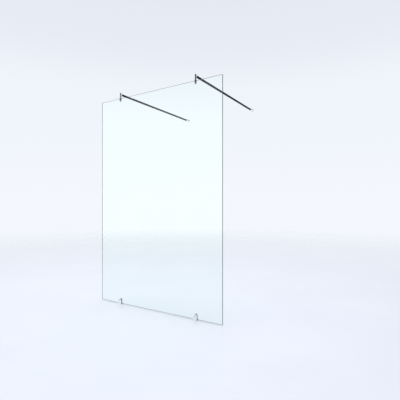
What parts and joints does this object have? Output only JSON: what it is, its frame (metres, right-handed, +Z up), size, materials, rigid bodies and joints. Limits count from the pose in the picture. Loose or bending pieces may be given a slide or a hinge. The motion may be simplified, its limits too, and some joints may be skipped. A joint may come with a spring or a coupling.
{
  "type": "walk-in shower screen",
  "caption": "Frameless walk-in shower screen: an upright clear glass panel on round-topped chrome floor clamps, stayed to the wall by black round bars from its top edge.",
  "frame": {"origin": "on the floor, in the middle of the glass thickness, midway between the two floor-screw holes", "axes": "+X along the glass to the right as seen from outside, +Y from the glass to the wall, +Z up"},
  "size_m": [1.39, 1.201, 2.063],
  "materials": {
    "clear_glass": "clear toughened float glass, faint blue-green, polished edges",
    "polished_chrome": "polished chrome plate",
    "black_coat": "satin black powder coat",
    "dark_rubber": "matt black rubber",
    "screw_steel": "plain stainless steel",
    "white_nylon": "moulded nylon",
    "plug_brass": "turned brass",
    "black_plastic": "moulded black plastic"
  },
  "bodies": {
    "screen": {"glass_panel": "clear_glass", "floor_clamp_base_left": "polished_chrome", "floor_clamp_rear_gasket_left": "dark_rubber", "floor_setting_pad_left": "dark_rubber", "floor_clamp_bush_left": "white_nylon", "floor_clamp_base_right": "polished_chrome", "floor_clamp_rear_gasket_right": "dark_rubber", "floor_setting_pad_right": "dark_rubber", "floor_clamp_bush_right": "white_nylon"},
    "floor_jaw_left": {"floor_clamp_front_plate_left": "polished_chrome", "floor_clamp_front_gasket_left": "dark_rubber", "floor_clamp_screw_left": "screw_steel"},
    "stay_bar_left": {"top_bracket_left": "polished_chrome", "bracket_post_left": "polished_chrome", "top_liner_left": "dark_rubber", "bar_neck_left": "polished_chrome", "bar_collar_left": "black_coat", "bar_fixing_stud_left": "screw_steel", "bar_tube_left": "black_coat", "bar_front_plug_left": "plug_brass", "bar_end_cap_left": "black_plastic"},
    "top_jaw_left": {"top_rear_pad_left": "dark_rubber", "top_pressure_plate_left": "screw_steel", "top_grub_screw_left": "screw_steel"},
    "wall_end_left": {"wall_socket_left": "polished_chrome", "wall_flange_left": "polished_chrome", "wall_seal_left": "dark_rubber", "socket_lock_screws_left": "screw_steel"},
    "floor_jaw_right": {"floor_clamp_front_plate_right": "polished_chrome", "floor_clamp_front_gasket_right": "dark_rubber", "floor_clamp_screw_right": "screw_steel"},
    "stay_bar_right": {"top_bracket_right": "polished_chrome", "bracket_post_right": "polished_chrome", "top_liner_right": "dark_rubber", "bar_neck_right": "polished_chrome", "bar_collar_right": "black_coat", "bar_fixing_stud_right": "screw_steel", "bar_tube_right": "black_coat", "bar_front_plug_right": "plug_brass", "bar_end_cap_right": "black_plastic"},
    "top_jaw_right": {"top_rear_pad_right": "dark_rubber", "top_pressure_plate_right": "screw_steel", "top_grub_screw_right": "screw_steel"},
    "wall_end_right": {"wall_socket_right": "polished_chrome", "wall_flange_right": "polished_chrome", "wall_seal_right": "dark_rubber", "socket_lock_screws_right": "screw_steel"}
  },
  "joints": [
    {"name": "floor_jaw_left_off", "type": "slide", "parent": "screen", "child": "floor_jaw_left", "axis": [0, -1, 0], "range_m": [0, 0.03]},
    {"name": "stay_bar_left_along_glass", "type": "slide", "parent": "screen", "child": "stay_bar_left", "axis": [1, 0, 0], "range_m": [-0.245, 0.4]},
    {"name": "top_jaw_left_release", "type": "slide", "parent": "stay_bar_left", "child": "top_jaw_left", "axis": [0, 1, 0], "range_m": [0, 0.001]},
    {"name": "wall_end_left_reach", "type": "slide", "parent": "stay_bar_left", "child": "wall_end_left", "axis": [0, 1, 0], "range_m": [-0.0045, 0.012]},
    {"name": "floor_jaw_right_off", "type": "slide", "parent": "screen", "child": "floor_jaw_right", "axis": [0, -1, 0], "range_m": [0, 0.03]},
    {"name": "stay_bar_right_along_glass", "type": "slide", "parent": "screen", "child": "stay_bar_right", "axis": [1, 0, 0], "range_m": [-0.4, 0.245]},
    {"name": "top_jaw_right_release", "type": "slide", "parent": "stay_bar_right", "child": "top_jaw_right", "axis": [0, 1, 0], "range_m": [0, 0.001]},
    {"name": "wall_end_right_reach", "type": "slide", "parent": "stay_bar_right", "child": "wall_end_right", "axis": [0, 1, 0], "range_m": [-0.0045, 0.012]}
  ]
}
